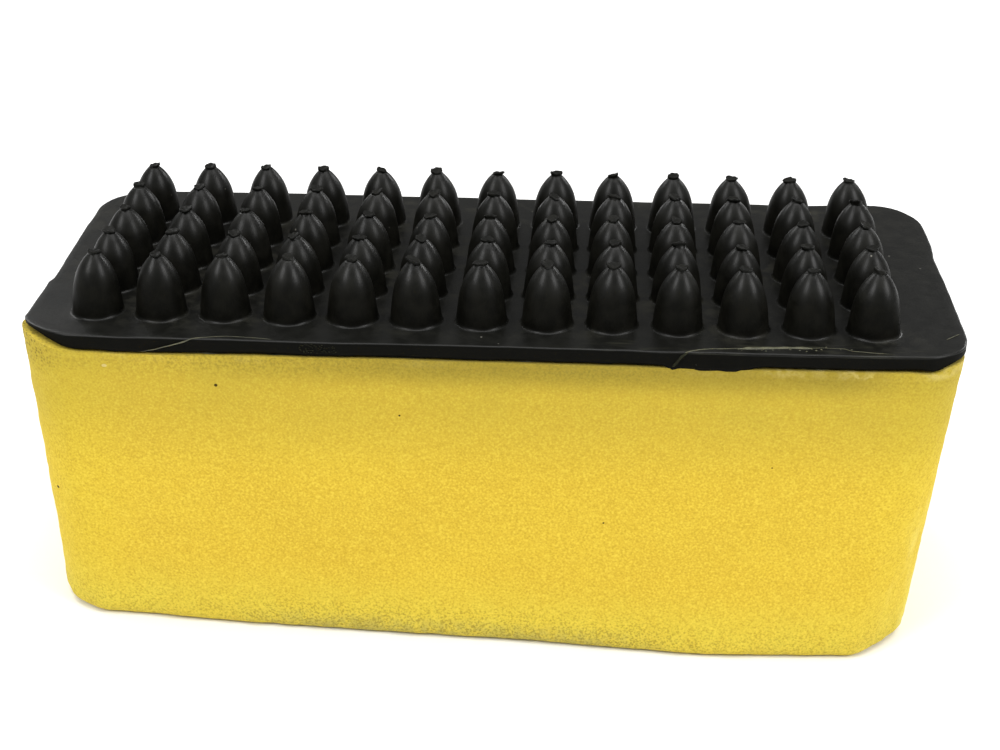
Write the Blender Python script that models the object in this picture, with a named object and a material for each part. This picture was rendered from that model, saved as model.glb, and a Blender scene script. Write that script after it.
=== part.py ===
"""Sponge eraser with a studded rubber pad.

A block of open-cell polyurethane foam carries a moulded rubber pad on its top
face.  The pad is one moulding: a thin sheet with a grid of bullet-shaped studs.
A cured film of contact cement lies between the two.

Axes: +X along the block, +Y to the rear, +Z up.  The origin is the middle of
the underside of the foam.  Units are metres.

The foam was cut a little taller at its right end, so the film, the sheet and
the studs are built in a frame of their own (PAD_TILT) that leans with the top
face.  Squeezing the sponge moves the pad straight down, along +Z of PAD_SQUEEZE.
"""

import math

import bmesh
import bpy
from mathutils import Matrix, Vector

# ---------------------------------------------------------------- dimensions
MM = 0.001

STUD_PITCH = 11.5 * MM        # same along and across the pad
STUD_COLUMNS = 13
STUD_ROWS = 5
STUD_HEIGHT = 11.2 * MM       # above the sheet, with the nib
STUD_RADIUS = 4.7 * MM        # at the sheet
STUD_SIDES = 10

PAD_LENGTH = 166.4 * MM
PAD_WIDTH = 71.5 * MM
PAD_THICKNESS = 2.6 * MM
PAD_EDGE = 0.5 * MM           # rounding of the sheet's upper edge
GRID_OFFSET_X = -1.4 * MM     # the wider margins are on the right and at the rear
GRID_OFFSET_Y = -1.55 * MM

FOAM_LENGTH = 166.6 * MM      # at the top face
FOAM_WIDTH = 72.1 * MM
FOAM_HEIGHT = 58.4 * MM       # in the middle
FOAM_TOP_RISE = 4.4 * MM      # right end above left end
FOAM_FOOT_LEFT = 2.5 * MM     # how far each side leans in at the underside
FOAM_FOOT_RIGHT = 3.9 * MM
FOAM_FOOT_FRONT = 1.6 * MM
FOAM_FOOT_REAR = 1.6 * MM
FOAM_FOOT_ROUND = 2.2 * MM    # soft lower edge

FILM_THICKNESS = 0.5 * MM
FILM_INSET = 1.2 * MM         # from the sheet's edge
CLEARANCE = 0.3 * MM          # between touching pieces

CORNER_STEPS = 7

# corner radii in plan: (along X, along Y), front-left, front-right, rear-right, rear-left
PAD_CORNERS = ((10.0, 8.0), (6.6, 7.4), (6.5, 7.0), (8.0, 9.0))
FOAM_TOP_CORNERS = ((8.0, 8.5), (7.5, 8.0), (7.0, 7.5), (8.0, 9.0))
FOAM_FOOT_CORNERS = ((13.0, 12.5), (11.0, 13.0), (11.0, 12.0), (11.0, 12.0))

TILT = math.atan2(FOAM_TOP_RISE, FOAM_LENGTH)


# ------------------------------------------------------------------- helpers
def clear_scene():
    for thing in list(bpy.data.objects):
        bpy.data.objects.remove(thing, do_unlink=True)


def material(name, colour, roughness, metallic=0.0):
    made = bpy.data.materials.new(name)
    made.use_nodes = True
    shader = made.node_tree.nodes["Principled BSDF"]
    shader.inputs["Base Color"].default_value = (*colour, 1.0)
    shader.inputs["Roughness"].default_value = roughness
    shader.inputs["Metallic"].default_value = metallic
    return made


def rounded_outline(x0, x1, y0, y1, corners, steps=CORNER_STEPS):
    """Points, anticlockwise from above, of a rectangle whose four corners are
    quarter ellipses.  Corner radii are in millimetres."""
    (fl, fr, rr, rl) = [(a * MM, b * MM) for a, b in corners]
    arcs = (
        (x0, y0, +1, +1, fl, 180.0),
        (x1, y0, -1, +1, fr, 270.0),
        (x1, y1, -1, -1, rr, 0.0),
        (x0, y1, +1, -1, rl, 90.0),
    )
    points = []
    for cx, cy, sx, sy, (rx, ry), start in arcs:
        for k in range(steps + 1):
            a = math.radians(start + 90.0 * k / steps)
            points.append((cx + sx * rx + rx * math.cos(a), cy + sy * ry + ry * math.sin(a)))
    return points


def blend_outlines(first, second, share):
    return [
        (a[0] + (b[0] - a[0]) * share, a[1] + (b[1] - a[1]) * share)
        for a, b in zip(first, second)
    ]


def inset_outline(points, by):
    """The outline moved inwards by a small, even distance."""
    count = len(points)
    moved = []
    for i in range(count):
        before, here, after = (Vector(points[(i + d) % count]) for d in (-1, 0, 1))
        along = ((here - before).normalized() + (after - here).normalized()).normalized()
        moved.append(tuple(here + Vector((-along.y, along.x)) * by))
    return moved


def lofted(name, rings, surface):
    """A closed solid through rings of points, listed from the bottom up."""
    shape = bmesh.new()
    layers = [[shape.verts.new(p) for p in ring] for ring in rings]
    shape.faces.new(reversed(layers[0]))
    for low, high in zip(layers, layers[1:]):
        for i in range(len(low)):
            j = (i + 1) % len(low)
            shape.faces.new((low[i], low[j], high[j], high[i]))
    shape.faces.new(layers[-1])
    return finished(name, shape, surface)


def finished(name, shape, surface):
    mesh = bpy.data.meshes.new(name)
    bmesh.ops.recalc_face_normals(shape, faces=shape.faces[:])
    shape.to_mesh(mesh)
    shape.free()
    mesh.materials.append(surface)
    mesh.shade_smooth()
    mesh.set_sharp_from_angle(angle=math.radians(40))
    made = bpy.data.objects.new(name, mesh)
    bpy.context.scene.collection.objects.link(made)
    return made


def empty(name, parent=None, location=(0, 0, 0), rotation=(0, 0, 0)):
    made = bpy.data.objects.new(name, None)
    bpy.context.scene.collection.objects.link(made)
    made.parent = parent
    made.location = location
    made.rotation_euler = rotation
    made.empty_display_size = 0.01
    return made


def stud_profile():
    """Radius and height of the rings of a stud, from inside the sheet upwards:
    an almost straight skirt, a blunt ogive, and the small nib the mould leaves."""
    r, h = STUD_RADIUS, STUD_HEIGHT
    return [
        (1.00 * r, -0.4 * PAD_THICKNESS),
        (1.00 * r, 0.04 * h),
        (0.92 * r, 0.18 * h),
        (0.86 * r, 0.42 * h),
        (0.77 * r, 0.59 * h),
        (0.62 * r, 0.75 * h),
        (0.42 * r, 0.88 * h),
        (0.25 * r, 0.93 * h),
        (0.24 * r, h),
    ]


# -------------------------------------------------------------------- pieces
def build_foam(surface):
    half_x, half_y = FOAM_LENGTH / 2, FOAM_WIDTH / 2
    top = rounded_outline(-half_x, half_x, -half_y, half_y, FOAM_TOP_CORNERS)
    foot = rounded_outline(
        -half_x + FOAM_FOOT_LEFT,
        half_x - FOAM_FOOT_RIGHT,
        -half_y + FOAM_FOOT_FRONT,
        half_y - FOAM_FOOT_REAR,
        FOAM_FOOT_CORNERS,
    )

    def top_height(x):
        return FOAM_HEIGHT + x * FOAM_TOP_RISE / FOAM_LENGTH

    rings = []
    for angle in (0.0, 30.0, 60.0, 90.0):
        a = math.radians(angle)
        inset = FOAM_FOOT_ROUND * (1.0 - math.sin(a))
        height = FOAM_FOOT_ROUND * (1.0 - math.cos(a))
        outline = foot if inset < 1e-6 else inset_outline(foot, inset)
        rings.append([(x, y, height) for x, y in outline])
    for share in (1.0 / 3.0, 2.0 / 3.0, 1.0):
        outline = blend_outlines(foot, top, share)
        rings.append(
            [
                (x, y, FOAM_FOOT_ROUND + (top_height(x) - FOAM_FOOT_ROUND) * share)
                for x, y in outline
            ]
        )
    return lofted("foam_block", rings, surface)


def pad_outline():
    return rounded_outline(
        -PAD_LENGTH / 2, PAD_LENGTH / 2, -PAD_WIDTH / 2, PAD_WIDTH / 2, PAD_CORNERS
    )


def build_film(surface, frame):
    """Height 0 of the leaning frame is the foam's top face."""
    outline = inset_outline(pad_outline(), FILM_INSET)
    low = CLEARANCE
    film = lofted(
        "adhesive_film",
        [[(x, y, z) for x, y in outline] for z in (low, low + FILM_THICKNESS)],
        surface,
    )
    film.parent = frame
    return film


def build_studs(base_height):
    """All studs as one hidden helper, each a closed turned body."""
    shape = bmesh.new()
    profile = stud_profile()
    for row in range(STUD_ROWS):
        for column in range(STUD_COLUMNS):
            x = GRID_OFFSET_X + (column - (STUD_COLUMNS - 1) / 2) * STUD_PITCH
            y = GRID_OFFSET_Y + (row - (STUD_ROWS - 1) / 2) * STUD_PITCH
            layers = []
            for radius, height in profile:
                ring = []
                for k in range(STUD_SIDES):
                    a = 2.0 * math.pi * (k + 0.5) / STUD_SIDES
                    ring.append(
                        shape.verts.new(
                            (x + radius * math.cos(a), y + radius * math.sin(a), base_height + height)
                        )
                    )
                layers.append(ring)
            shape.faces.new(reversed(layers[0]))
            for low, high in zip(layers, layers[1:]):
                for i in range(STUD_SIDES):
                    j = (i + 1) % STUD_SIDES
                    shape.faces.new((low[i], low[j], high[j], high[i]))
            shape.faces.new(layers[-1])
    mesh = bpy.data.meshes.new("studs_helper")
    shape.to_mesh(mesh)
    shape.free()
    helper = bpy.data.objects.new("studs_helper", mesh)
    bpy.context.scene.collection.objects.link(helper)
    helper.hide_render = True
    helper.display_type = "WIRE"
    return helper


def build_pad(surface, frame):
    """The rubber moulding: a sheet with every stud joined to it."""
    low = 2 * CLEARANCE + FILM_THICKNESS
    outline = pad_outline()
    rings = [
        [(x, y, low) for x, y in outline],
        [(x, y, low + PAD_THICKNESS - PAD_EDGE) for x, y in outline],
        [(x, y, low + PAD_THICKNESS) for x, y in inset_outline(outline, PAD_EDGE)],
    ]
    pad = lofted("stud_pad", rings, surface)
    helper = build_studs(low + PAD_THICKNESS)
    for thing in (pad, helper):
        thing.parent = frame
    union = pad.modifiers.new("join_studs", "BOOLEAN")
    union.operation = "UNION"
    union.solver = "EXACT"
    union.object = helper
    return pad


def main():
    clear_scene()
    yellow_foam = material("yellow_foam", (0.80, 0.58, 0.08), 0.95)
    cured_cement = material("cured_cement", (0.62, 0.50, 0.20), 0.45)
    black_rubber = material("black_rubber", (0.022, 0.022, 0.021), 0.48)

    build_foam(yellow_foam)
    squeeze = empty("PAD_SQUEEZE", location=(0, 0, FOAM_HEIGHT))
    tilt = empty("PAD_TILT", parent=squeeze, rotation=(0, -TILT, 0))
    build_film(cured_cement, tilt)
    build_pad(black_rubber, tilt)
    bpy.context.view_layer.update()


main()
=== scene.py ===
"""Looks of the sponge eraser: foam, glue and studded rubber pad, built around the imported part."""
import math

import bmesh
import bpy
import numpy as np
from mathutils import Matrix, Vector


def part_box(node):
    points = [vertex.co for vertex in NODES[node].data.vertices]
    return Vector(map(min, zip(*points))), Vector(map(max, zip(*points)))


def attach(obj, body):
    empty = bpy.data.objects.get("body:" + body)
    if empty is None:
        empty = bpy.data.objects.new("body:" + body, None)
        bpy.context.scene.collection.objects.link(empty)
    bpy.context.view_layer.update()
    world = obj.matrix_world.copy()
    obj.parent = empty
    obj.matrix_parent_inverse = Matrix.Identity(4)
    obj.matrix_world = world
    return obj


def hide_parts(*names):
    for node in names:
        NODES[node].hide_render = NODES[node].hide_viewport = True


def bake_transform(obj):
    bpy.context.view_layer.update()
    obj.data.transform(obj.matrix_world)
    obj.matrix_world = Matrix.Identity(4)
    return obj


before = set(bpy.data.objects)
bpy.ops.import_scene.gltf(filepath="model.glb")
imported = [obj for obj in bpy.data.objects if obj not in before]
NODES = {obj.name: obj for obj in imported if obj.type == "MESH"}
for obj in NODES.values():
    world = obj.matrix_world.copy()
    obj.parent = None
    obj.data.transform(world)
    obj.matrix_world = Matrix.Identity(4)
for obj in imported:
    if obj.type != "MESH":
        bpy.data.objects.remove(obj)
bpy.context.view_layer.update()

MM = 0.001

# ------------------------------------------------------------------ where the CAD pieces are
FOAM_LOW, FOAM_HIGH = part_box("foam_block")
PAD_LOW, PAD_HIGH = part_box("stud_pad")

_co = np.array([v.co for v in NODES["foam_block"].data.vertices], float)
_top = _co[_co[:, 2] > 0.8 * FOAM_HIGH.z]
SLOPE, TOP_Z = np.polyfit(_top[:, 0], _top[:, 2], 1)      # the top face: z = TOP_Z + SLOPE * x
TILT = math.atan(SLOPE)
# u along the block, v across it, w up from the foam's top face
AX_U = np.array([math.cos(TILT), 0.0, math.sin(TILT)])
AX_V = np.array([0.0, 1.0, 0.0])
AX_W = np.array([-math.sin(TILT), 0.0, math.cos(TILT)])
AX_O = np.array([0.0, 0.0, TOP_Z])

# the numbers of the moulding, as in the CAD part
PITCH = 11.5 * MM
COLS, ROWS = 13, 5
GRID_U, GRID_V = -1.4 * MM, -1.55 * MM
STUD_H = 11.2 * MM
SHEET_LOW = 0.95 * MM          # underside of the sheet, on the glue line
SHEET_TOP = 3.7 * MM
PAD_HALF_U, PAD_HALF_V = 83.2 * MM, 35.75 * MM


# corners in plan: radius along the block, radius across it, superellipse power
PAD_CORNERS = [(10.4 * MM, 8.0 * MM, 1.5), (7.0 * MM, 9.3 * MM, 1.7), (8.0 * MM, 8.5 * MM, 1.85), (9.5 * MM, 10.5 * MM, 1.8)]


def hand_cut(u, v):
    """How far the hand-cut edge strays outwards, in millimetres, at points (u, v) near the outline."""
    u, v = u / MM, v / MM
    front = np.interp(u, (-83, -65, -45, -32, -20, -8, 6, 28, 57, 75, 83), (-0.7, -0.30, -0.30, -0.25, -0.5, -0.65, -0.7, -0.6, -0.8, -1.2, -1.7))
    rear = np.interp(u, (-83, -60, -30, 20, 62, 71, 76, 80, 83), (-0.2, 0.1, 0.2, 0.0, 0.3, 1.3, 1.2, 0.6, 0.1))
    left = np.interp(v, (-30, -24, -17, -11.6, -10.6, -5, 5, 16, 28), (-0.35, -0.25, -0.15, 0.0, -0.55, -0.40, -0.10, 0.25, 0.25))
    right = np.interp(v, (-28, -22, -10, -2, 4, 9, 12.5, 16, 20, 24, 29), (0.15, 0.35, 0.35, 0.25, 0.1, 0.05, 0.3, 0.55, 0.65, 0.5, 0.25))
    near = [np.clip(1 - d / 6.0, 0, 1) for d in (v + 35.75, 35.75 - v, u + 83.2, 83.2 - u)]
    near = [n * n for n in near]
    total = sum(near) + 1e-6
    return (near[0] * front + near[1] * rear + near[2] * left + near[3] * right) / total


def thin_corner(uv):
    """How much the sheet feathers out at its front-left corner, from 0 to 1."""
    d = np.hypot((uv[:, 0] + 83.5 * MM) / (11.0 * MM), (uv[:, 1] + 29.5 * MM) / (9.0 * MM))
    t = np.clip(1.25 - d, 0, 1)
    return t * t * (3 - 2 * t)


def thinned(uv):
    """By what share the cut wall is shorter than usual at points near the outline."""
    front = np.clip((-uv[:, 1] / MM - 24.0) / 6.0, 0, 1)
    return 0.72 * thin_corner(uv) + front * np.interp(uv[:, 0] / MM, (-70, -62, -50, -40, -15, -5, 74, 77, 78.5, 80.5, 84), (0, -0.05, 0.02, 0.09, 0.10, 0.03, 0.03, -0.10, 0.0, 0.28, 0.46))


def from_lean(p):
    """Points in the leaning frame (u, v, w) to the row frame."""
    p = np.asarray(p, float)
    return AX_O + p[:, :1] * AX_U + p[:, 1:2] * AX_V + p[:, 2:3] * AX_W


# ------------------------------------------------------------------ noise, the same on every run
def _hash(ix, iy, iz, seed):
    h = (ix * 374761393 + iy * 668265263 + iz * 987643211 + seed * 1274126177) & 0xFFFFFFFF
    h = ((h ^ (h >> 13)) * 1274126177) & 0xFFFFFFFF
    h = h ^ (h >> 16)
    return h.astype(float) / 2147483647.5 - 1.0


def lumps(p, size, seed=0):
    """Smooth value noise from -1 to 1, with lumps of about `size` metres."""
    q = np.asarray(p, float) / size + 1000.0
    i = np.floor(q).astype(np.int64)
    f = q - i
    f = f * f * f * (f * (f * 6 - 15) + 10)
    out = np.zeros(len(q))
    for dx in (0, 1):
        for dy in (0, 1):
            for dz in (0, 1):
                w = (
                    (f[:, 0] if dx else 1 - f[:, 0])
                    * (f[:, 1] if dy else 1 - f[:, 1])
                    * (f[:, 2] if dz else 1 - f[:, 2])
                )
                out += w * _hash(i[:, 0] + dx, i[:, 1] + dy, i[:, 2] + dz, seed)
    return out


def rough(p, size, seed=0, octaves=3, gain=0.5):
    total, norm = 0.0, 0.0
    for k in range(octaves):
        a = gain ** k
        total = total + a * lumps(p, size / 2 ** k, seed + 17 * k)
        norm += a
    return total / norm


# ------------------------------------------------------------------ mesh helpers
def mesh_object(name, points, faces, material, smooth_angle=45):
    mesh = bpy.data.meshes.new(name)
    mesh.from_pydata([tuple(p) for p in points], [], faces)
    mesh.validate()
    mesh.materials.append(material)
    mesh.shade_smooth()
    if smooth_angle is not None:
        mesh.set_sharp_from_angle(angle=math.radians(smooth_angle))
    made = bpy.data.objects.new(name, mesh)
    bpy.context.scene.collection.objects.link(made)
    return made


def resample(path, count):
    """`count` points spread evenly along a polyline, its last point left out."""
    path = np.asarray(path, float)
    step = np.linalg.norm(np.diff(path, axis=0), axis=1)
    along = np.concatenate([[0.0], np.cumsum(step)])
    want = np.linspace(0.0, along[-1], count, endpoint=False)
    return np.stack([np.interp(want, along, path[:, k]) for k in range(2)], axis=1)


def corner_arc(cx, cy, sx, sy, rx, ry, power, turn):
    """A quarter of a superellipse.  sx, sy point outwards; turn orders its points."""
    a = np.linspace(0.0, math.pi / 2, 33)
    x = np.cos(a) ** (2.0 / power)
    y = np.sin(a) ** (2.0 / power)
    pts = np.stack([cx + sx * rx * x, cy + sy * ry * y], axis=1)
    return pts if turn > 0 else pts[::-1]


def rounded_sides(x0, x1, y0, y1, corners, count_x, count_y):
    """The outline, anticlockwise from above, as four sides that meet in the middle of
    each corner: front, right, rear, left.  corners: (rx, ry, power) for
    front-left, front-right, rear-right, rear-left."""
    fl, fr, rr, rl = corners
    arcs = [
        corner_arc(x0 + fl[0], y0 + fl[1], -1, -1, *fl, +1),
        corner_arc(x1 - fr[0], y0 + fr[1], +1, -1, *fr, -1),
        corner_arc(x1 - rr[0], y1 - rr[1], +1, +1, *rr, +1),
        corner_arc(x0 + rl[0], y1 - rl[1], -1, +1, *rl, -1),
    ]
    halves = [(a[:17], a[16:]) for a in arcs]
    sides = []
    for k, count in enumerate((count_x, count_y, count_x, count_y)):
        here, after = halves[k], halves[(k + 1) % 4]
        sides.append(resample(np.concatenate([here[1], after[0]]), count))
    return np.concatenate(sides)


def outward(outline):
    """Unit normals of a closed anticlockwise outline."""
    d = np.roll(outline, -1, axis=0) - np.roll(outline, 1, axis=0)
    n = np.stack([d[:, 1], -d[:, 0]], axis=1)
    n /= np.linalg.norm(n, axis=1)[:, None]
    n = n + np.roll(n, 1, axis=0) + np.roll(n, -1, axis=0)
    return n / np.linalg.norm(n, axis=1)[:, None]


# ------------------------------------------------------------------ shader helpers
class Shade:
    """A short way to build a node material on the object's own coordinates."""

    def __init__(self, name):
        self.material = bpy.data.materials.new(name)
        self.material.use_nodes = True
        self.tree = self.material.node_tree
        self.bsdf = self.tree.nodes["Principled BSDF"]
        self.coords = self.tree.nodes.new("ShaderNodeTexCoord").outputs["Object"]

    def link(self, a, b):
        self.tree.links.new(a, b)

    def put(self, socket, value):
        if hasattr(value, "links") or hasattr(value, "is_linked"):
            self.link(value, socket)
        else:
            socket.default_value = value

    def scaled(self, x, y, z):
        n = self.tree.nodes.new("ShaderNodeMapping")
        n.inputs["Scale"].default_value = (x, y, z)
        self.link(self.coords, n.inputs["Vector"])
        return n.outputs["Vector"]

    def noise(self, size, detail=3.0, rough=0.55, distortion=0.0, vector=None, shift=0.0):
        n = self.tree.nodes.new("ShaderNodeTexNoise")
        n.noise_dimensions = "4D"
        n.inputs["W"].default_value = shift
        n.inputs["Scale"].default_value = 1.0 / size
        n.inputs["Detail"].default_value = detail
        n.inputs["Roughness"].default_value = rough
        n.inputs["Distortion"].default_value = distortion
        self.link(vector or self.coords, n.inputs["Vector"])
        return n.outputs["Fac"]

    def cells(self, size, feature="F1", randomness=1.0, smooth=None, vector=None, out="Distance"):
        n = self.tree.nodes.new("ShaderNodeTexVoronoi")
        n.feature = feature
        n.inputs["Scale"].default_value = 1.0 / size
        n.inputs["Randomness"].default_value = randomness
        if smooth is not None:
            n.inputs["Smoothness"].default_value = smooth
        self.link(vector or self.coords, n.inputs["Vector"])
        return n.outputs[out]

    def axis(self, name):
        n = self.tree.nodes.new("ShaderNodeSeparateXYZ")
        self.link(self.coords, n.inputs[0])
        return n.outputs[name]

    def ramp(self, value, low, high, out_low=0.0, out_high=1.0, smooth=True):
        n = self.tree.nodes.new("ShaderNodeMapRange")
        n.interpolation_type = "SMOOTHSTEP" if smooth else "LINEAR"
        n.inputs["From Min"].default_value = low
        n.inputs["From Max"].default_value = high
        n.inputs["To Min"].default_value = out_low
        n.inputs["To Max"].default_value = out_high
        self.link(value, n.inputs["Value"])
        return n.outputs["Result"]

    def math(self, kind, a, b=0.0, clamp=False):
        n = self.tree.nodes.new("ShaderNodeMath")
        n.operation = kind
        n.use_clamp = clamp
        self.put(n.inputs[0], a)
        self.put(n.inputs[1], b)
        return n.outputs[0]

    def spot(self, u, w, wide, high):
        """A soft-edged dot on the front face, at the given place in millimetres."""
        n = self.tree.nodes.new("ShaderNodeMapping")
        n.inputs["Location"].default_value = (-u * MM, 0.0, -(float(TOP_Z) + float(SLOPE) * u * MM + w * MM))
        self.link(self.coords, n.inputs["Vector"])
        m = self.tree.nodes.new("ShaderNodeVectorMath")
        m.operation = "MULTIPLY"
        m.inputs[1].default_value = (1.0 / (wide * MM), 0.0, 1.0 / (high * MM))
        self.link(n.outputs["Vector"], m.inputs[0])
        d = self.tree.nodes.new("ShaderNodeVectorMath")
        d.operation = "LENGTH"
        self.link(m.outputs["Vector"], d.inputs[0])
        return self.math("MULTIPLY", self.ramp(d.outputs["Value"], 0.75, 1.15, 1.0, 0.0), self.ramp(self.axis("Y"), -0.028, -0.030))

    def mix(self, share, a, b, kind="MIX"):
        n = self.tree.nodes.new("ShaderNodeMix")
        n.data_type = "RGBA"
        n.blend_type = kind
        n.clamp_factor = True
        self.put(n.inputs[0], share)
        self.put(n.inputs[6], a if not isinstance(a, tuple) else (*a, 1.0))
        self.put(n.inputs[7], b if not isinstance(b, tuple) else (*b, 1.0))
        return n.outputs[2]

    def bump(self, height, distance, strength=1.0, under=None):
        n = self.tree.nodes.new("ShaderNodeBump")
        n.inputs["Strength"].default_value = strength
        n.inputs["Distance"].default_value = distance
        self.link(height, n.inputs["Height"])
        if under is not None:
            self.link(under, n.inputs["Normal"])
        return n.outputs["Normal"]

    def set(self, **values):
        for key, value in values.items():
            name = key.replace("_", " ")
            socket = next(s for s in self.bsdf.inputs if s.name.lower() == name.lower())
            self.put(socket, value if not isinstance(value, tuple) or len(value) != 3 or socket.type != "RGBA" else (*value, 1.0))


# ------------------------------------------------------------------ materials
def foam_material():
    s = Shade("open_cell_foam")
    x, y, z = s.axis("X"), s.axis("Y"), s.axis("Z")
    # height under the seam, in metres (0 at the top face, negative below)
    depth = s.math("SUBTRACT", z, s.math("ADD", s.math("MULTIPLY", x, float(SLOPE)), float(TOP_Z)))

    big = s.noise(30 * MM, 3, 0.5, 0.6)
    mid = s.noise(5 * MM, 3, 0.6, 0.3, shift=3.0)
    small = s.noise(1.5 * MM, 2, 0.6, 0.2, shift=7.0)
    grain = s.noise(0.42 * MM, 1.0, 0.6, 0.0, shift=5.0)
    pores = s.cells(0.70 * MM, "F1")

    colour = s.mix(s.ramp(big, 0.30, 0.70), (0.618, 0.423, 0.036), (0.655, 0.460, 0.039))
    # paler and more lemon towards the lower edge and at both ends: painted light, standing in for the side lamps and
    # the bounce off the floor
    ends = s.math("MAXIMUM", s.ramp(x, -0.060, -0.076), s.ramp(x, 0.066, 0.078))
    colour = s.mix(s.math("MULTIPLY", ends, 0.80), colour, (0.668, 0.492, 0.038))
    colour = s.mix(s.ramp(z, 0.0170, 0.0030, 0.0, 0.95), colour, (0.665, 0.532, 0.056))
    colour = s.mix(s.ramp(mid, 0.35, 0.70, 0.0, 0.30), colour, (0.610, 0.412, 0.033))
    # cell walls catch the light, the pores between them hold a little shade
    colour = s.mix(s.ramp(grain, 0.52, 0.26, 0.0, 0.60), colour, (0.480, 0.308, 0.021))
    colour = s.mix(s.ramp(grain, 0.48, 0.74, 0.0, 0.60), colour, (0.780, 0.620, 0.074))
    holes = s.math("MULTIPLY", s.ramp(pores, 0.06, 0.30, 1.0, 0.0), s.ramp(small, 0.46, 0.66))
    colour = s.mix(s.math("MULTIPLY", holes, 0.30), colour, (0.330, 0.200, 0.018))
    # an olive band close to the seam, partly soiling and partly painted shade under the sheet, and greyer, more open
    # pores at the cut lower edge
    near = s.ramp(depth, -0.026, -0.005)
    soil_and_shade = s.math("MULTIPLY", near, s.ramp(big, 0.30, 0.70, 0.70, 1.0))
    colour = s.mix(s.math("MULTIPLY", soil_and_shade, 0.52), colour, (0.345, 0.275, 0.036))
    # painted shade: darkest in the last few millimetres under the sheet, where the sheet shades the foam, except at the
    # ends
    sheet_shade = s.math("MULTIPLY", s.ramp(depth, -0.0062, -0.0004), s.ramp(x, -0.066, -0.006, 0.12, 1.0))
    sheet_shade = s.math("MULTIPLY", sheet_shade, s.ramp(x, 0.060, 0.074, 1.0, 0.30))
    colour = s.mix(s.math("MULTIPLY", sheet_shade, 0.50), colour, (0.125, 0.100, 0.016))
    foot = s.math("MULTIPLY", s.ramp(z, 0.0060, 0.0008), s.ramp(small, 0.34, 0.62, 0.30, 1.0))
    foot = s.math("MULTIPLY", foot, s.ramp(x, 0.042, 0.018, 0.12, 1.0))
    foot = s.math("MULTIPLY", foot, s.ramp(x, -0.050, -0.026, 0.12, 1.0))
    colour = s.mix(s.math("MULTIPLY", foot, 0.62), colour, (0.340, 0.305, 0.095))
    pits = s.cells(0.72 * MM, "F1")
    open_cells = s.math("MULTIPLY", s.ramp(z, 0.0100, 0.0010), s.math("MULTIPLY", s.ramp(x, -0.056, -0.028, 0.40, 1.0), s.ramp(x, 0.052, 0.024, 0.45, 1.0)))
    open_cells = s.math("MAXIMUM", open_cells, s.math("MULTIPLY", s.ramp(depth, -0.0042, -0.0004), s.math("MULTIPLY", s.ramp(x, 0.040, 0.025, 0.3, 0.8), s.ramp(x, -0.072, -0.045, 0.35, 1.0))))
    dots = s.math("MULTIPLY", s.ramp(pits, 0.14, 0.40, 1.0, 0.0), open_cells)
    colour = s.mix(s.math("MULTIPLY", dots, 0.46), colour, (0.200, 0.160, 0.022))
    dots = s.math("MULTIPLY", s.ramp(grain, 0.52, 0.36), open_cells)
    colour = s.mix(s.math("MULTIPLY", dots, 0.48), colour, (0.225, 0.190, 0.026))
    # cement soaked into the top few cells leaves a pale, broken fringe under the sheet
    lip = s.math("MULTIPLY", s.ramp(depth, -0.0012, 0.0), s.ramp(small, 0.40, 0.60))
    lip = s.math("MULTIPLY", lip, s.ramp(s.noise(9 * MM, 2, 0.5, 0.0, shift=13.0), 0.42, 0.60, 0.10, 1.0))
    lip = s.math("MULTIPLY", lip, s.ramp(x, 0.030, 0.055, 0.22, 1.0))
    colour = s.mix(s.math("MULTIPLY", lip, 0.28), colour, (0.760, 0.640, 0.260))
    # the worn, porous corner at the front left
    left = s.math("MULTIPLY", s.ramp(x, -0.0720, -0.0815), s.ramp(y, -0.018, -0.030))
    worn = s.math("MULTIPLY", s.math("MULTIPLY", left, s.ramp(depth, -0.0065, -0.0010)), s.ramp(pores, 0.18, 0.46, 1.0, 0.10))
    colour = s.mix(s.math("MULTIPLY", worn, 0.80), colour, (0.130, 0.098, 0.013))
    # painted highlight: a pale streak along the front-right corner, where the side lamp lights the rounded edge
    corner_highlight = s.math("MULTIPLY", s.ramp(x, 0.0730, 0.0765), s.math("MULTIPLY", s.ramp(y, -0.014, -0.026), s.ramp(z, 0.048, 0.026)))
    corner_highlight = s.math("MULTIPLY", corner_highlight, s.ramp(s.noise(6 * MM, 2, 0.5, 0.2, vector=s.scaled(1.0, 1.0, 0.25), shift=21.0), 0.44, 0.62))
    colour = s.mix(s.math("MULTIPLY", corner_highlight, 0.45), colour, (0.800, 0.700, 0.170))
    # things caught in the cells of the front face: dark specks and one pale fleck
    for u, w, size in ((-47.4, -5.2, 0.32), (-79.0, -29.9, 0.30), (-15.0, -10.3, 0.20), (22.0, -31.0, 0.19), (51.0, -18.5, 0.15)):
        colour = s.mix(s.spot(u, w, size, size), colour, (0.045, 0.026, 0.003))
    colour = s.mix(s.math("MULTIPLY", s.spot(-67.0, -1.9, 0.48, 0.32), 0.26), colour, (0.900, 0.820, 0.520))

    tall = s.math("SUBTRACT", s.math("MULTIPLY", grain, 1.0), s.math("MULTIPLY", holes, 0.35))
    under = s.bump(mid, 0.9 * MM, 0.30)
    normal = s.bump(tall, 0.14 * MM, 0.45, under)
    s.set(base_color=colour, roughness=0.95, normal=normal)
    s.set(specular_ior_level=0.08, sheen_weight=0.10, sheen_roughness=0.6, sheen_tint=(1.0, 0.90, 0.55))
    return s.material


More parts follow.
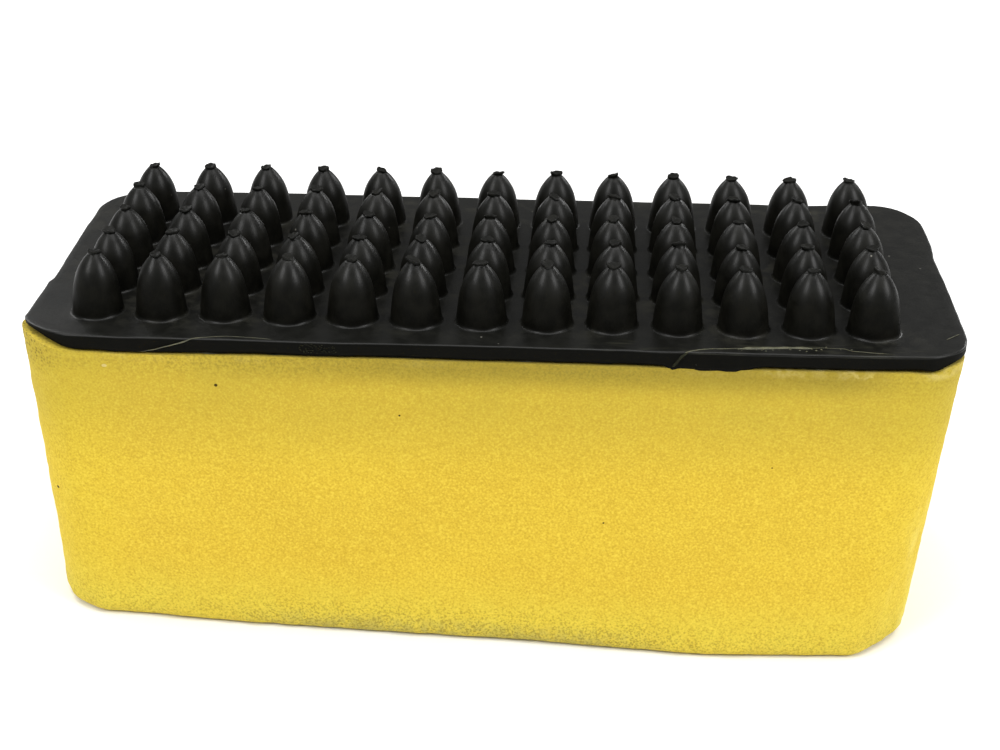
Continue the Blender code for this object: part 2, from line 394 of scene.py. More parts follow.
def rubber_material():
    s = Shade("black_moulded_rubber")
    x, y = s.axis("X"), s.axis("Y")
    big = s.noise(18 * MM, 3, 0.55, 0.5)
    mid = s.noise(3.2 * MM, 4, 0.6, 0.3, shift=2.0)
    fine = s.noise(0.35 * MM, 3, 0.6, 0.0, shift=4.0)

    colour = s.mix(s.ramp(mid, 0.35, 0.70), (0.0034, 0.0035, 0.0026), (0.0058, 0.0058, 0.0046))
    # olive dust that has settled low down, between the studs, a little less of it towards the left end and hardly any
    # at the right end
    level = s.math("SUBTRACT", s.axis("Z"), s.math("ADD", s.math("MULTIPLY", x, float(SLOPE)), float(TOP_Z)))
    # the straight skirts of the studs are duller and cleaner than their polished shoulders
    skirt = s.math("MULTIPLY", s.ramp(level, 0.0039, 0.0045), s.ramp(level, 0.0135, 0.0088))
    low = s.ramp(level, 0.0080, 0.0036, 0.25, 1.0)
    dust = s.math("MULTIPLY", s.ramp(big, 0.40, 0.66), s.ramp(mid, 0.40, 0.64))
    dust = s.math("MULTIPLY", dust, s.math("MULTIPLY", s.ramp(x, 0.040, -0.075, 0.80, 0.66), s.ramp(x, 0.077, 0.069, 0.15, 1.0)))
    dust = s.math("MULTIPLY", dust, s.math("MULTIPLY", low, s.ramp(y, -0.0335, -0.0295, 0.12, 1.0)))
    dust = s.math("MULTIPLY", dust, s.ramp(skirt, 0.0, 1.0, 1.0, 0.25, smooth=False))
    colour = s.mix(s.math("MULTIPLY", dust, 0.75), colour, (0.022, 0.021, 0.014))
    # fine white specks of lint and chalk
    speck = s.cells(3.4 * MM, "F1")
    pick = s.noise(2.7 * MM, 0, 0.5, 0.0, shift=11.0)
    white = s.math("MULTIPLY", s.ramp(speck, 0.034, 0.060, 1.0, 0.0), s.ramp(pick, 0.535, 0.555))
    colour = s.mix(s.math("MULTIPLY", white, 0.75), colour, (0.22, 0.21, 0.18))

    # the torn nibs and the cut walls of the sheet are matt
    edge = s.math("ADD", level, s.ramp(x, 0.018, 0.045, 0.0, 0.00022))
    row = s.ramp(y, -0.0195, -0.0185, 0.01482, 0.01425, smooth=False)
    torn = s.ramp(s.math("SUBTRACT", level, row), -0.00005, 0.00010)
    cut = s.ramp(edge, 0.00362, 0.00344)
    matt = s.math("MAXIMUM", s.math("MAXIMUM", torn, cut), skirt)
    colour = s.mix(s.math("MULTIPLY", cut, 0.62), colour, (0.0021, 0.0020, 0.0013))
    colour = s.mix(s.math("MULTIPLY", skirt, 0.80), colour, s.mix(s.ramp(mid, 0.38, 0.64), (0.0032, 0.0031, 0.0022), (0.0062, 0.0059, 0.0042)))
    # faint smears of cement rubbed along the right half of the front margin
    smear = s.noise(1.1 * MM, 2, 0.6, 0.4, vector=s.scaled(0.16, 1.0, 1.0), shift=15.0)
    smear = s.math("MULTIPLY", s.ramp(smear, 0.52, 0.70), s.math("MULTIPLY", s.ramp(y, -0.0296, -0.0318), s.ramp(cut, 1.0, 0.0)))
    smear = s.math("MULTIPLY", smear, s.math("MULTIPLY", s.ramp(x, 0.006, 0.030), s.ramp(x, 0.080, 0.072)))
    colour = s.mix(s.math("MULTIPLY", smear, 0.70), colour, (0.020, 0.020, 0.013))
    gloss = s.ramp(mid, 0.30, 0.72, 0.38, 0.48)
    gloss = s.math("ADD", gloss, s.math("MULTIPLY", dust, 0.15))
    gloss = s.math("ADD", gloss, s.math("MULTIPLY", torn, 0.10))
    gloss = s.math("ADD", gloss, s.math("MULTIPLY", skirt, 0.05))
    gloss = s.math("ADD", gloss, s.math("MULTIPLY", cut, 0.22), clamp=True)
    tall = s.math("ADD", s.math("MULTIPLY", fine, 0.5), s.math("MULTIPLY", mid, 1.0))
    normal = s.bump(tall, 0.10 * MM, 0.55)
    s.set(base_color=colour, roughness=gloss, normal=normal)
    shine = s.math("SUBTRACT", s.ramp(skirt, 0.0, 1.0, 0.17, 0.055, smooth=False), s.math("MULTIPLY", torn, 0.05))
    s.set(specular_ior_level=s.math("SUBTRACT", shine, s.math("MULTIPLY", cut, 0.125), clamp=True))
    s.set(coat_weight=s.ramp(matt, 0.0, 1.0, 0.12, 0.0, smooth=False), coat_roughness=0.24)
    return s.material


def cement_material(name="cured_contact_cement", dark=(0.048, 0.047, 0.025), light=(0.104, 0.102, 0.060), shine=0.40, smooth=0.45):
    s = Shade(name)
    mid = s.noise(1.6 * MM, 4, 0.6, 0.4)
    fine = s.noise(0.3 * MM, 2, 0.6, 0.0, shift=2.0)
    colour = s.mix(s.ramp(mid, 0.35, 0.68), dark, light)
    colour = s.mix(s.ramp(fine, 0.50, 0.75, 0.0, 0.4), colour, (0.045, 0.042, 0.026))
    s.set(base_color=colour, roughness=s.ramp(mid, 0.3, 0.7, smooth, smooth + 0.24), normal=s.bump(fine, 0.08 * MM, 0.6))
    s.set(specular_ior_level=shine)
    s.set(subsurface_weight=0.1, subsurface_radius=(1.0, 0.7, 0.3), subsurface_scale=0.5 * MM)
    return s.material


FOAM = foam_material()
RUBBER = rubber_material()
CEMENT = cement_material()
SOILED = cement_material("soiled_cement", (0.006, 0.0062, 0.0036), (0.021, 0.022, 0.012), 0.08, 0.70)


# ------------------------------------------------------------------ the studded pad
PROFILE = np.array([  # height above the sheet, radius, in millimetres, above the foot's fillet
    (0.46, 4.60), (1.2, 4.50), (2.0, 4.41), (3.0, 4.29), (4.0, 4.15), (5.0, 3.97), (6.0, 3.74), (6.8, 3.48),
    (7.5, 3.19), (8.1, 2.88), (8.65, 2.54), (9.15, 2.19), (9.6, 1.83), (9.95, 1.50), (10.2, 1.25), (10.38, 1.08),
])
# the rows are not quite level: the front one stands tallest
ROW_TALL = (0.055, 0.0, -0.004, 0.008, 0.020)
FILLET = 0.46


def sheet_height(uv):
    p = np.column_stack([uv, np.zeros(len(uv))])
    return SHEET_TOP + 0.07 * MM * rough(p, 14 * MM, 3, 2) + 0.02 * MM * lumps(p, 2.5 * MM, 5)


def stud_rings(rng, cu, cv, row, sides=32):
    """Rings of one stud, each an array of (u, v, w), its own small faults included."""
    angle = math.radians(225.0) + 2 * math.pi * np.arange(sides) / sides
    lean = rng.normal(0.0, 0.016, 2)
    tall = 1.0 + ROW_TALL[row] + rng.normal(0.0, 0.008)
    fat = 1.0 + rng.normal(0.0, 0.008)
    oval = 1.0 + rng.normal(0.0, 0.010)
    phase = rng.uniform(0, 2 * math.pi)
    rings = []
    r0 = PROFILE[0, 1] * MM * fat
    for k in range(6):                                   # concave fillet at the foot
        t = math.radians(90.0 * k / 5)
        r = r0 + FILLET * MM * (1 - math.sin(t))
        h = FILLET * MM * (1 - math.cos(t))
        rings.append((np.full(sides, r), np.full(sides, h)))
    for h, r in PROFILE[1:]:
        wobble = 1.0 + 0.006 * np.sin(2 * angle + phase + 0.35 * h) + 0.004 * np.sin(3 * angle - phase)
        rings.append((r * MM * fat * wobble, np.full(sides, h * MM * tall)))
    # nib: a short torn stub with a slight overhang, tilted and out of round
    flap = rng.random() < 0.16
    nib_r = rng.uniform(1.02, 1.24) * (1.18 if flap else 1.0) * MM
    nib_h = rng.uniform(0.48, 0.74) * (0.85 if flap else 1.0) * MM
    tip_u, tip_v = rng.normal(0.0, 0.12, 2) * MM
    slant = rng.normal(0.0, 0.13, 2)
    flat = rng.uniform(0.60, 0.75) if flap else rng.uniform(0.82, 1.0)
    turn = rng.normal(0.0, 0.4) + math.pi / 2 if flap else rng.uniform(0, math.pi)
    base = PROFILE[-1, 0] * MM * tall
    ragged = 1.0 + 0.08 * np.sin(2 * angle + phase) + 0.07 * np.sin(3 * angle + 2.1 * phase) + 0.05 * np.sin(7 * angle - phase)
    notch = 0.07 * MM * np.sin(2 * angle - phase) + 0.06 * MM * np.sin(5 * angle + phase)
    nib = [(0.94, 0.04, 0.2, 0.0), (0.90, 0.14, 0.5, 0.1), (1.00, 0.26, 0.9, 0.3), (1.05, 0.52, 1.0, 0.6),
           (1.03, 0.84, 1.0, 1.0), (0.94, 1.0, 1.0, 1.0), (0.78, 0.95, 0.9, 0.8), (0.42, 0.80, 0.7, 0.4)]
    nib_points = []
    for scale, share, rag, torn in nib:
        r = nib_r * scale * (1 + (ragged - 1) * rag)
        du, dv = r * np.cos(angle), r * np.sin(angle)
        c, s = math.cos(turn), math.sin(turn)
        a, b = du * c + dv * s, (-du * s + dv * c) * (1 - (1 - flat) * rag)
        du, dv = a * c - b * s, a * s + b * c
        h = base + nib_h * share + (du * slant[0] + dv * slant[1]) * rag + notch * torn
        nib_points.append((du + tip_u * rag, dv + tip_v * rag, h))
    out = []
    for r, h in rings:
        out.append((r * np.cos(angle) * oval, r * np.sin(angle) / oval, h))
    out += nib_points
    done = []
    for du, dv, h in out:
        bend = (h / STUD_H) ** 1.3
        du = du + lean[0] * h * bend
        dv = dv + lean[1] * h * bend
        done.append(np.stack([cu + du, cv + dv, SHEET_TOP + h], axis=1))
    top_u = cu + tip_u + lean[0] * (base + nib_h)
    top_v = cv + tip_v + lean[1] * (base + nib_h)
    return done, np.array([top_u, top_v, SHEET_TOP + base + nib_h * 0.78])


def build_pad():
    rng = np.random.default_rng(20)
    sub = 8
    points, faces = [], []

    def add(block):
        start = sum(len(b) for b in points)
        points.append(np.asarray(block, float))
        return start

    # 1. the net of cell borders on the sheet
    net = {}
    net_uv = []
    u0 = GRID_U - COLS * PITCH / 2
    v0 = GRID_V - ROWS * PITCH / 2
    step = PITCH / sub
    for i in range(COLS * sub + 1):
        for j in range(ROWS * sub + 1):
            if i % sub == 0 or j % sub == 0:
                net[(i, j)] = len(net_uv)
                net_uv.append((u0 + i * step, v0 + j * step))
    net_uv = np.array(net_uv)
    add(np.column_stack([net_uv, sheet_height(net_uv)]))

    def skin(low, high):
        """Quads between two rings of the same length, low ring outside."""
        n = len(low)
        for k in range(n):
            m = (k + 1) % n
            faces.append((low[k], low[m], high[m], high[k]))

    # 2. the studs, each in its own cell
    for row in range(ROWS):
        for col in range(COLS):
            i0, j0 = col * sub, row * sub
            edge = (
                [(i0 + k, j0) for k in range(sub)]
                + [(i0 + sub, j0 + k) for k in range(sub)]
                + [(i0 + sub - k, j0 + sub) for k in range(sub)]
                + [(i0, j0 + sub - k) for k in range(sub)]
            )
            edge = [net[e] for e in edge]
            cu = u0 + (col + 0.5) * PITCH + rng.normal(0, 0.10) * MM
            cv = v0 + (row + 0.5) * PITCH + rng.normal(0, 0.10) * MM
            rings, tip = stud_rings(rng, cu, cv, row)
            foot = rings[0]
            half = 0.5 * net_uv[edge] + 0.5 * foot[:, :2]
            low = edge
            start = add(np.column_stack([half, sheet_height(half)]))
            high = list(range(start, start + 32))
            skin(low, high)
            low = high
            base_h = sheet_height(foot[:, :2]) - SHEET_TOP
            for k, ring in enumerate(rings):
                fade = max(0.0, 1.0 - k / 6.0)
                ring = ring + np.column_stack([np.zeros((32, 2)), base_h * fade])
                if 4 < k < len(rings) - 8:          # faint hand-made unevenness of the skin
                    ring[:, :2] += (ring[:, :2] - [cu, cv]) * (0.006 * lumps(ring, 1.6 * MM, 9))[:, None]
                start = add(ring)
                high = list(range(start, start + 32))
                skin(low, high)
                low = high
            start = add([tip])
            for k in range(32):
                faces.append((low[k], low[(k + 1) % 32], start))

    # 3. the margin, the cut edge and the underside
    rim = (
        [(k, 0) for k in range(COLS * sub)]
        + [(COLS * sub, k) for k in range(ROWS * sub)]
        + [(COLS * sub - k, ROWS * sub) for k in range(COLS * sub)]
        + [(0, ROWS * sub - k) for k in range(ROWS * sub)]
    )
    rim = [net[r] for r in rim]
    corners = PAD_CORNERS
    outline = rounded_sides(-PAD_HALF_U, PAD_HALF_U, -PAD_HALF_V, PAD_HALF_V, corners, COLS * sub, ROWS * sub)
    normal = outward(outline)
    flat = np.column_stack([outline, np.zeros(len(outline))])
    wave = hand_cut(outline[:, 0], outline[:, 1]) * MM
    wave = wave + 0.08 * MM * lumps(flat, 11 * MM, 31) + 0.10 * MM * lumps(flat, 5 * MM, 32) + 0.05 * MM * lumps(flat, 2 * MM, 33)
    outline = outline + normal * wave[:, None]

    def ring_at(inset, w, jitter=0.0, seed=0):
        uv = outline - normal * inset
        if jitter:
            p = np.column_stack([uv, np.full(len(uv), w) if np.isscalar(w) else w])
            uv = uv + normal * (jitter * rough(p, 2.2 * MM, seed, 3))[:, None]
        return np.column_stack([uv, np.full(len(uv), w) if np.isscalar(w) else w])

    low_uv = net_uv[rim]
    chain = [rim]
    edge_in = outline - normal * 0.45 * MM
    for t in (0.3, 0.6, 0.85, 1.0):
        uv = low_uv * (1 - t) + edge_in * t
        start = add(np.column_stack([uv, sheet_height(uv)]))
        chain.append(list(range(start, start + len(rim))))
    top_w = sheet_height(edge_in)
    for deg in (30, 60, 90):
        a = math.radians(deg)
        start = add(ring_at(0.45 * MM * (1 - math.sin(a)), top_w - 0.36 * MM * (1 - math.cos(a)) * (1.0 - 0.8 * thinned(outline)), 0.02 * MM, 41))
        chain.append(list(range(start, start + len(rim))))
    feather = 1.0 - thinned(outline)
    # the lower edge of the front wall is nicked, and sags in a lip right of the middle
    at_front = np.clip((-outline[:, 1] / MM - 31.0) / 3.0, 0, 1)
    run = outline[:, 0] / MM
    sag = at_front * np.interp(run, (30.6, 31.8, 33.8, 36.4, 42, 45.5, 46.5, 50), (0, 0.75, 0.45, 0.75, 0.85, 0.60, 0.10, 0)) * MM
    puff = at_front * np.interp(run, (30.8, 31.8, 34.4, 37, 43, 46), (0, 0.30, 0.22, 0.48, 0.44, 0)) * MM
    nick = at_front * (0.10 * MM * lumps(flat, 3.1 * MM, 35) + 0.08 * MM * lumps(flat, 1.2 * MM, 36))
    for drop, jitter in ((0.85, 0.07), (1.25, 0.10), (1.65, 0.12), (2.05, 0.12), (2.4, 0.08)):
        low = np.clip((drop - 0.8) / 1.6, 0, 1)
        inset = (0.03 * MM * drop - puff * low)[:, None]
        start = add(ring_at(inset, top_w - drop * feather * MM - (sag + nick) * low, jitter * MM, 43))
        chain.append(list(range(start, start + len(rim))))
    start = add(ring_at((0.22 * MM - puff)[:, None], top_w - (2.4 + 0.3) * feather * MM - sag - nick, 0.03 * MM, 47))
    chain.append(list(range(start, start + len(rim))))
    start = add(ring_at(2.5 * MM, SHEET_LOW))
    chain.append(list(range(start, start + len(rim))))
    for outer, inner in zip(chain, chain[1:]):
        skin(inner, outer)
    faces.append(tuple(reversed(chain[-1])))

    pad = mesh_object("rubber_stud_pad", from_lean(np.concatenate(points)), faces, RUBBER, 60)
    return pad


pad = build_pad()
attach(pad, "pad")
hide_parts("stud_pad")


# ------------------------------------------------------------------ the foam block
def build_foam():
    count_x, count_y = 200, 86
    hx, hy = 83.3 * MM, 36.05 * MM
    top_c = [(9.0 * MM, 8.0 * MM, 1.7), (7.0 * MM, 7.6 * MM, 1.9), (7.0 * MM, 7.5 * MM, 2.0), (8.0 * MM, 9.0 * MM, 2.0)]
    foot_c = [(11.5 * MM, 11.0 * MM, 1.8), (10.6 * MM, 10.6 * MM, 1.20), (11.0 * MM, 12.0 * MM, 1.8), (11.0 * MM, 12.0 * MM, 1.8)]
    top = rounded_sides(-hx - 0.2 * MM, hx - 0.35 * MM, -hy, hy, top_c, count_x, count_y)
    drift = hand_cut(top[:, 0], np.full(len(top), -PAD_HALF_V)) * MM
    top[:, 1] -= (drift - 0.12 * MM) * np.clip(-top[:, 1] / (20 * MM), 0, 1)
    foot = rounded_sides(-hx + 1.8 * MM, hx - 2.85 * MM, -hy + 1.6 * MM, hy - 1.6 * MM, foot_c, count_x, count_y)
    # the front was cut by hand: its foot bows out right of the middle and falls back at the ends
    bow = np.interp(foot[:, 0] / MM, (-82, -66, -46, -20, 5, 28, 42, 56, 68, 82), (-1.9, -1.9, -0.8, -0.2, -0.2, 0.8, 1.1, 0.1, -1.2, -1.6))
    kernel = np.hanning(23)
    kernel /= kernel.sum()
    bow = np.convolve(np.concatenate([bow[-11:], bow, bow[:11]]), kernel, "valid")
    foot[:, 1] -= bow * MM * np.clip(-foot[:, 1] / (20 * MM), 0, 1)
    top_n, foot_n = outward(top), outward(foot)
    n = len(top)
    radius = 2.2 * MM
    lift = 0.55 * MM                                     # the foam's own top, up to the glue
    layers = []

    def outer(share):
        uv = foot * (1 - share) + top * share
        nn = foot_n * (1 - share) + top_n * share
        nn /= np.linalg.norm(nn, axis=1)[:, None]
        full = 0.45 * MM * math.sin(math.pi * share) * np.clip((uv[:, 0] - 60 * MM) / (15 * MM), 0, 1)   # the right end is a little full
        return uv + nn * full[:, None], nn

    # underside, from the middle outwards
    inner = [0.02, 0.06, 0.12, 0.2, 0.3, 0.4, 0.5, 0.6, 0.69, 0.77, 0.84, 0.90, 0.95]
    rim_uv = foot - foot_n * radius
    for t in inner:
        uv = rim_uv * t
        layers.append((uv, np.zeros(n), None))
    for deg in (0, 15, 30, 45, 60, 75, 90):
        a = math.radians(deg)
        uv = foot - foot_n * radius * (1 - math.sin(a))
        layers.append((uv, np.full(n, radius * (1 - math.cos(a))), foot_n * math.sin(a)))
    rows = 76
    for k in range(1, rows + 1):
        share = k / rows
        uv, nn = outer(share)
        z_top = TOP_Z + SLOPE * uv[:, 0] + (lift + 2.43 * MM * thinned(top)) / math.cos(TILT)
        layers.append((uv, radius + (z_top - radius) * share, nn))
    points = []
    for uv, z, nn in layers:
        p = np.column_stack([uv, z])
        if nn is not None:
            low = 0.14 * MM * lumps(p, 24 * MM, 61) + 0.07 * MM * lumps(p, 8 * MM, 62)
            fine = 0.10 * MM * lumps(p, 2.6 * MM, 63) + 0.07 * MM * lumps(p, 1.3 * MM, 64)
            near_foot = np.clip((9 * MM - z) / (9 * MM), 0, 1)
            ragged = near_foot * (0.22 * MM * lumps(p, 3.0 * MM, 66) + 0.12 * MM * lumps(p, 1.4 * MM, 67))
            move = low + fine + ragged
            p[:, :2] += nn * move[:, None]
        points.append(p)
    # top: in under the pad
    for t in (0.985, 0.95, 0.88):
        uv = top * t
        rise = lift + 2.43 * MM * thinned(top) * np.clip((t - 0.9) / 0.1, 0, 1)
        points.append(np.column_stack([uv, TOP_Z + SLOPE * uv[:, 0] + rise / math.cos(TILT)]))
    verts = np.concatenate(points)
    faces = [tuple(reversed(range(n)))]
    for k in range(len(points) - 1):
        a, b = k * n, (k + 1) * n
        for i in range(n):
            j = (i + 1) % n
            faces.append((a + i, a + j, b + j, b + i))
    last = (len(points) - 1) * n
    faces.append(tuple(range(last, last + n)))
    return mesh_object("foam_sponge_block", verts, faces, FOAM, 50)


foam = build_foam()
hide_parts("foam_block")
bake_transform(foam)


# ------------------------------------------------------------------ the glue
def build_glue_line():
    """The cured film between foam and sheet, its edge uneven and here and there squeezed out."""
    count_x, count_y = 150, 64
    corners = PAD_CORNERS
    line = rounded_sides(-PAD_HALF_U, PAD_HALF_U, -PAD_HALF_V, PAD_HALF_V, corners, count_x, count_y)
    normal = outward(line)
    line = line + normal * (hand_cut(line[:, 0], line[:, 1]) * MM)[:, None]
    flat = np.column_stack([line, np.zeros(len(line))])
    inset = 1.00 * MM + 0.45 * MM * lumps(flat, 7 * MM, 71) + 0.25 * MM * lumps(flat, 2.2 * MM, 72)
    n = len(line)
    rings = []
    for extra, w in ((0.9, 0.60), (0.15, 0.61), (0.0, 0.75), (0.15, 0.88), (0.9, 0.89)):
        uv = line - normal * (inset + extra * MM)[:, None]
        rings.append(np.column_stack([uv, np.full(n, w * MM)]))
    verts = np.concatenate(rings)
    faces = [tuple(reversed(range(n)))]
    for k in range(len(rings) - 1):
        a, b = k * n, (k + 1) * n
        for i in range(n):
            j = (i + 1) % n
            faces.append((a + i, a + j, b + j, b + i))
    faces.append(tuple(range((len(rings) - 1) * n, len(rings) * n)))
    return mesh_object("glue_line", from_lean(verts), faces, CEMENT, 60)


def smooth_path(points, count):
    """A Catmull-Rom curve through the points."""
    p = np.asarray(points, float)
    p = np.concatenate([[2 * p[0] - p[1]], p, [2 * p[-1] - p[-2]]])
    out = []
    spans = len(p) - 3
    for k in range(count):
        t = k / (count - 1) * spans
        i = min(int(t), spans - 1)
        f = t - i
        a, b, c, d = p[i : i + 4]
        out.append(0.5 * (2 * b + (c - a) * f + (2 * a - 5 * b + 4 * c - d) * f * f + (3 * b - a - 3 * c + d) * f ** 3))
    return np.array(out)


def strand(points, radius, seed, count=90, sides=8, flat=0.55, swell=(1.0, 1.0)):
    """A thin string of cured glue along the points, thinner at its ends, lying on what is under it."""
    path = smooth_path(points, count)
    path = path + 0.05 * MM * np.stack([lumps(path, 1.7 * MM, seed + k) for k in range(3)], axis=1)
    tangent = np.gradient(path, axis=0)
    tangent /= np.linalg.norm(tangent, axis=1)[:, None]
    up = np.array([0.0, -0.35, 1.0])
    side = np.cross(tangent, up)
    side /= np.linalg.norm(side, axis=1)[:, None]
    top = np.cross(side, tangent)
    share = np.linspace(0, 1, count)
    width = radius * MM * (0.25 + 0.75 * np.clip(np.minimum(share, 1 - share) * 9, 0, 1))
    width = width * (1 + 0.35 * lumps(path, 2.4 * MM, seed + 5)) * np.interp(share, np.linspace(0, 1, len(swell)), swell)
    verts, faces = [], []
    for k in range(count):
        for m in range(sides):
            a = 2 * math.pi * m / sides
            verts.append(path[k] + width[k] * (math.cos(a) * side[k] + flat * math.sin(a) * top[k]))
    for k in range(count - 1):
        for m in range(sides):
            n = (m + 1) % sides
            faces.append((k * sides + m, k * sides + n, (k + 1) * sides + n, (k + 1) * sides + m))
    faces.append(tuple(reversed(range(sides))))
    faces.append(tuple(range((count - 1) * sides, count * sides)))
    return np.array(verts), faces


def crumb(rng, centre, size):
    """A small lump of cured glue."""
    shape = bmesh.new()
    bmesh.ops.create_icosphere(shape, subdivisions=2, radius=1.0)
    verts = np.array([v.co for v in shape.verts], float)
    faces = [tuple(v.index for v in f.verts) for f in shape.faces]
    shape.free()
    verts *= 1 + 0.28 * lumps(verts + rng.uniform(0, 50, 3), 0.8, 3)[:, None]
    verts *= np.array([rng.uniform(0.8, 1.5), rng.uniform(0.7, 1.1), rng.uniform(0.45, 0.8)]) * size * MM
    turn = np.array(Matrix.Rotation(rng.uniform(0, math.pi), 3, "Z"))
    return verts @ turn.T + np.asarray(centre) , faces


def gather(parts):
    verts, faces, start = [], [], 0
    for v, f in parts:
        verts.append(v)
        faces += [tuple(i + start for i in face) for face in f]
        start += len(v)
    return np.concatenate(verts), faces


def build_residue():
    """Strings and crumbs of cement left on the pad's front edge, in the leaning frame."""
    rng = np.random.default_rng(7)
    m = MM

    def edge(points):
        """Points given from a straight front edge, moved on to the hand-cut one."""
        p = np.array(points, float)
        p[:, 1] -= hand_cut(p[:, 0], np.full(len(p), -PAD_HALF_V)) * MM
        return p

    front = -PAD_HALF_V
    parts = [
        strand(edge([(-60.2 * m, front - 0.12 * m, 1.1 * m), (-58.0 * m, front - 0.16 * m, 1.6 * m),
                (-55.4 * m, front - 0.14 * m, 2.3 * m), (-52.8 * m, front - 0.08 * m, 3.1 * m),
                (-51.0 * m, front + 0.25 * m, 3.68 * m), (-48.5 * m, front + 0.80 * m, 3.75 * m),
                (-45.2 * m, front + 1.35 * m, 3.75 * m), (-42.0 * m, front + 1.30 * m, 3.75 * m),
                (-38.8 * m, front + 0.95 * m, 3.75 * m), (-37.4 * m, front + 0.75 * m, 3.73 * m)]), 0.13, 81, 110, swell=(0.8, 1.1, 1.1, 0.5, 0.35, 0.5)),
        strand(edge([(34.2 * m, front + 0.05 * m, 3.62 * m), (35.2 * m, front + 0.5 * m, 3.72 * m),
                (37.2 * m, front + 1.2 * m, 3.75 * m), (42.0 * m, front + 1.8 * m, 3.75 * m),
                (48.0 * m, front + 2.3 * m, 3.75 * m), (54.0 * m, front + 2.7 * m, 3.75 * m),
                (60.9 * m, front + 2.8 * m, 3.75 * m), (62.8 * m, front + 1.9 * m, 3.75 * m),
                (65.9 * m, front + 1.3 * m, 3.75 * m), (69.8 * m, front + 0.8 * m, 3.74 * m)]), 0.12, 91, 150, swell=(1.5, 1.1, 0.7, 0.5, 0.4, 0.4, 0.6, 0.7)),
        strand(edge([(43.5 * m, front + 1.8 * m, 3.73 * m), (47.5 * m, front + 2.2 * m, 3.75 * m),
                (52.5 * m, front + 2.6 * m, 3.75 * m), (56.0 * m, front + 2.6 * m, 3.73 * m)]), 0.33, 99, 70, flat=0.25),
        strand([(79.7 * m, -27.3 * m, 3.72 * m), (81.1 * m, -26.0 * m, 3.74 * m), (82.3 * m, -24.8 * m, 3.70 * m)], 0.08, 77, 40, flat=0.4),
    ]
    # a blot down the cut wall where the long string starts
    crumbs = [
        strand(edge([(32.0 * m, front - 0.30 * m, 1.0 * m), (32.8 * m, front - 0.28 * m, 1.9 * m),
                (33.6 * m, front - 0.16 * m, 2.9 * m), (34.6 * m, front + 0.2 * m, 3.66 * m)]), 0.42, 93, 60, flat=0.30, swell=(0.7, 1.2, 0.9, 1.0)),
    ]
    for k in range(90):                                   # crumbly patch
        u = rng.uniform(-32.4, -26.0) * m
        w = rng.uniform(1.7, 3.4) * m
        crumbs.append(crumb(rng, edge([(u, front - 0.03 * m, w)])[0], rng.uniform(0.07, 0.17)))
    for k in range(26):                                   # flecks along the long string
        t = rng.uniform(0, 1)
        spot = (40 + 24 * t) * m, front + (1.5 + 1.1 * t + rng.normal(0, 0.35)) * m, 3.72 * m
        parts.append(crumb(rng, edge([spot])[0], rng.uniform(0.07, 0.16)))
    verts, faces = gather(parts)
    more, patch = gather(crumbs)
    return (mesh_object("glue_strings", from_lean(verts), faces, CEMENT, 60),
            mesh_object("glue_crumbs", from_lean(more), patch, SOILED, 60))


glue_line = build_glue_line()
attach(glue_line, "pad")
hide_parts("adhesive_film")

for residue in build_residue():
    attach(residue, "pad")


# ------------------------------------------------------------------ floor, light, camera
def stage_material():
    s = Shade("pale_floor")
    s.set(base_color=(0.95, 0.95, 0.945), roughness=0.9)
    s.set(specular_ior_level=0.1)
    return s.material


floor_mesh = bpy.data.meshes.new("floor")
floor_mesh.from_pydata([(-6, -6, 0), (6, -6, 0), (6, 6, 0), (-6, 6, 0)], [], [(0, 1, 2, 3)])
floor_mesh.materials.append(stage_material())
floor = bpy.data.objects.new("floor", floor_mesh)
bpy.context.scene.collection.objects.link(floor)

world = bpy.data.worlds.new("soft_room")
bpy.context.scene.world = world
world.use_nodes = True
world.node_tree.nodes["Background"].inputs["Color"].default_value = (1.0, 1.0, 1.0, 1.0)
world.node_tree.nodes["Background"].inputs["Strength"].default_value = 0.22


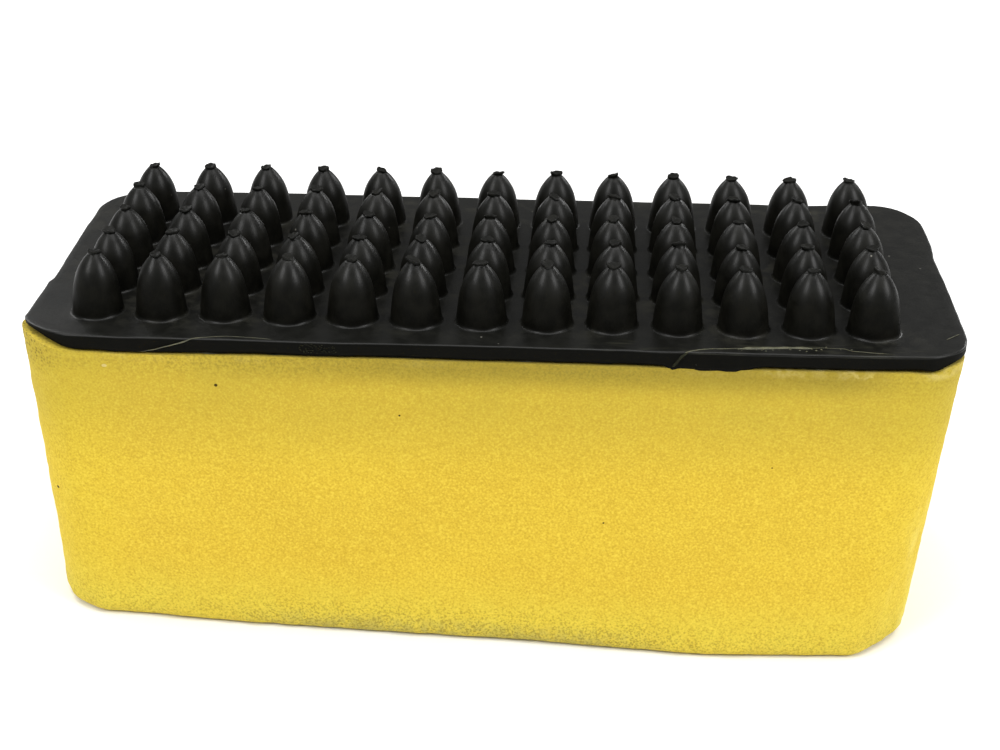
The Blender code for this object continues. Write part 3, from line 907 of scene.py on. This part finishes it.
def softbox(name, place, target, size, energy, colour=(1, 1, 1)):
    light = bpy.data.lights.new(name, "AREA")
    light.shape = "RECTANGLE"
    light.size, light.size_y = size
    light.energy = energy
    light.color = colour
    made = bpy.data.objects.new(name, light)
    bpy.context.scene.collection.objects.link(made)
    made.location = place
    made.rotation_euler = (Vector(target) - Vector(place)).to_track_quat("-Z", "Y").to_euler()
    return made


softbox("key_left", (-0.62, -0.60, 0.75), (0, 0, 0.04), (0.40, 0.50), 5.6)
softbox("key_right", (0.75, -0.40, 0.60), (0, 0, 0.04), (0.36, 0.50), 5.0)
softbox("top", (0.0, 0.0, 1.10), (0, 0.0, 0.0), (1.30, 0.80), 12.0)
softbox("back_right", (0.60, 0.66, 0.42), (0, 0, 0.06), (0.22, 0.26), 1.8)
softbox("back_left", (-0.7, 0.7, 0.6), (0, 0.15, 0.02), (0.5, 0.4), 3.0)

# the camera, fitted to the grid of studs, at the picture's own viewing angle
camera_data = bpy.data.cameras.new("camera")
camera_data.sensor_fit = "HORIZONTAL"
camera_data.sensor_width = 36.0
camera_data.lens = 1769.0 * 36.0 / 1000.0
camera_data.clip_start = 0.01
camera = bpy.data.objects.new("camera", camera_data)
bpy.context.scene.collection.objects.link(camera)


def aim_camera():
    elevation, yaw, roll = math.radians(26.74), math.radians(-3.389), math.radians(-0.142)
    place = np.array([1.743, -26.698, 11.533]) * PITCH     # from the middle stud's foot, in the leaning frame
    forward = np.array([math.sin(yaw) * math.cos(elevation), math.cos(yaw) * math.cos(elevation), -math.sin(elevation)])
    right = np.cross(forward, [0, 0, 1])
    right /= np.linalg.norm(right)
    down = np.cross(forward, right)
    c, s = math.cos(roll), math.sin(roll)
    right, down = c * right + s * down, -s * right + c * down
    lean = np.stack([AX_U, AX_V, AX_W])
    middle = AX_O + GRID_U * AX_U + GRID_V * AX_V + SHEET_TOP * AX_W
    at = middle + place @ lean
    right, down, forward = right @ lean, down @ lean, forward @ lean
    m = Matrix.Identity(4)
    for k in range(3):
        m[k][0], m[k][1], m[k][2], m[k][3] = right[k], -down[k], -forward[k], at[k]
    camera.matrix_world = m


aim_camera()
scene = bpy.context.scene
scene.camera = camera
scene.view_settings.view_transform = "Standard"
scene.view_settings.look = "None"
